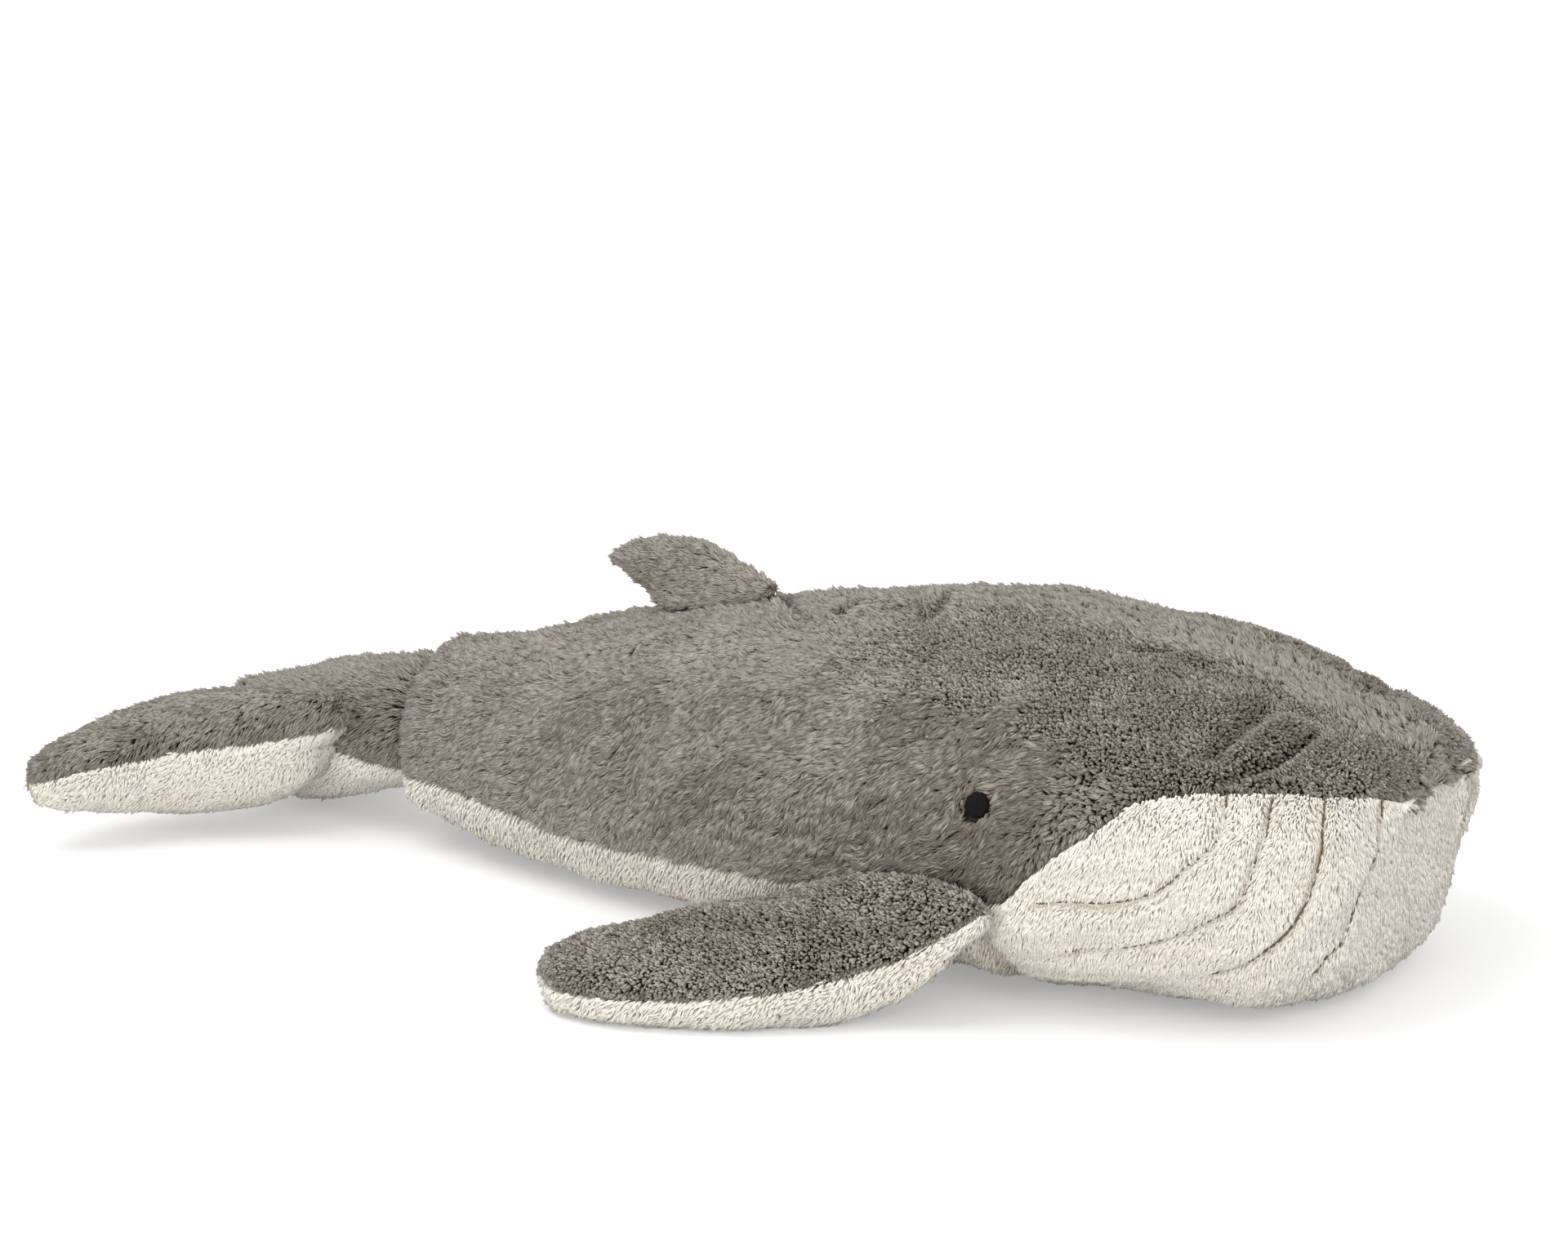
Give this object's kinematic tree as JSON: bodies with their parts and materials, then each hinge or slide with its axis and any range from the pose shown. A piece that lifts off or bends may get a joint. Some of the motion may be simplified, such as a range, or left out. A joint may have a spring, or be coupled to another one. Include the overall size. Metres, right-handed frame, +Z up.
{
  "type": "plush whale",
  "caption": "Stuffed long-pile whale lying on its belly, grey above and cream below, with fins and flukes that flex at their seams.",
  "frame": {"origin": "middle of the box's underside, on the surface that the whale lies on", "axes": "+X towards the snout, +Y towards the whale's left side, +Z up"},
  "size_m": [0.5282, 0.3408, 0.1275],
  "materials": {
    "grey_pile": "long pile plush, matt",
    "cream_pile": "long pile plush, matt",
    "stuffing_fibre": "loose polyester fibre",
    "black_thread": "satin stitched thread",
    "brown_thread": "plain sewing thread"
  },
  "bodies": {
    "torso": {"back_panel_right": "grey_pile", "back_panel_left": "grey_pile", "belly_panel": "cream_pile", "throat_panel": "cream_pile", "body_stuffing": "stuffing_fibre", "eye_right": "black_thread", "eye_left": "black_thread", "pleat_thread_right_1": "brown_thread", "pleat_thread_right_2": "brown_thread", "pleat_thread_right_3": "brown_thread", "pleat_thread_right_4": "brown_thread", "pleat_thread_left_1": "brown_thread", "pleat_thread_left_2": "brown_thread", "pleat_thread_left_3": "brown_thread", "pleat_thread_left_4": "brown_thread"},
    "tail": {"tail_top_panel": "grey_pile", "tail_under_panel": "cream_pile", "tail_stuffing": "stuffing_fibre"},
    "fluke_right": {"fluke_right_top_panel": "grey_pile", "fluke_right_under_panel": "cream_pile", "fluke_right_stuffing": "stuffing_fibre"},
    "fluke_left": {"fluke_left_top_panel": "grey_pile", "fluke_left_under_panel": "cream_pile", "fluke_left_stuffing": "stuffing_fibre"},
    "pectoral_right": {"pectoral_right_top_panel": "grey_pile", "pectoral_right_under_panel": "cream_pile", "pectoral_right_stuffing": "stuffing_fibre"},
    "pectoral_left": {"pectoral_left_top_panel": "grey_pile", "pectoral_left_under_panel": "cream_pile", "pectoral_left_stuffing": "stuffing_fibre"},
    "dorsal_fin": {"dorsal_right_panel": "grey_pile", "dorsal_left_panel": "grey_pile", "dorsal_stuffing": "stuffing_fibre"}
  },
  "joints": [
    {"name": "tail_bend", "type": "hinge", "parent": "torso", "child": "tail", "pos_m": [-0.15386, 0, 0.0432], "axis": [0, 1, 0], "range_deg": [-20, 30], "stiffness_Nm_per_rad": 1.5},
    {"name": "fluke_right_flap", "type": "hinge", "parent": "tail", "child": "fluke_right", "pos_m": [-0.19886, -0.03231, 0.03706], "axis": [-1, 0, 0], "range_deg": [-25, 25], "stiffness_Nm_per_rad": 0.4},
    {"name": "fluke_left_flap", "type": "hinge", "parent": "tail", "child": "fluke_left", "pos_m": [-0.19886, 0.03231, 0.03706], "axis": [1, 0, 0], "range_deg": [-25, 25], "stiffness_Nm_per_rad": 0.4},
    {"name": "pectoral_right_flap", "type": "hinge", "parent": "torso", "child": "pectoral_right", "pos_m": [0.11152, -0.10391, 0.03674], "axis": [-0.9825, 0.1538, -0.1047], "range_deg": [-10, 40], "stiffness_Nm_per_rad": 0.5},
    {"name": "pectoral_left_flap", "type": "hinge", "parent": "torso", "child": "pectoral_left", "pos_m": [0.11152, 0.10391, 0.03674], "axis": [0.9825, 0.1538, 0.1047], "range_deg": [-10, 40], "stiffness_Nm_per_rad": 0.5},
    {"name": "dorsal_fold", "type": "hinge", "parent": "torso", "child": "dorsal_fin", "pos_m": [-0.01965, 0, 0.10719], "axis": [0.9801, 0, 0.1987], "range_deg": [-50, 50], "stiffness_Nm_per_rad": 0.1}
  ]
}
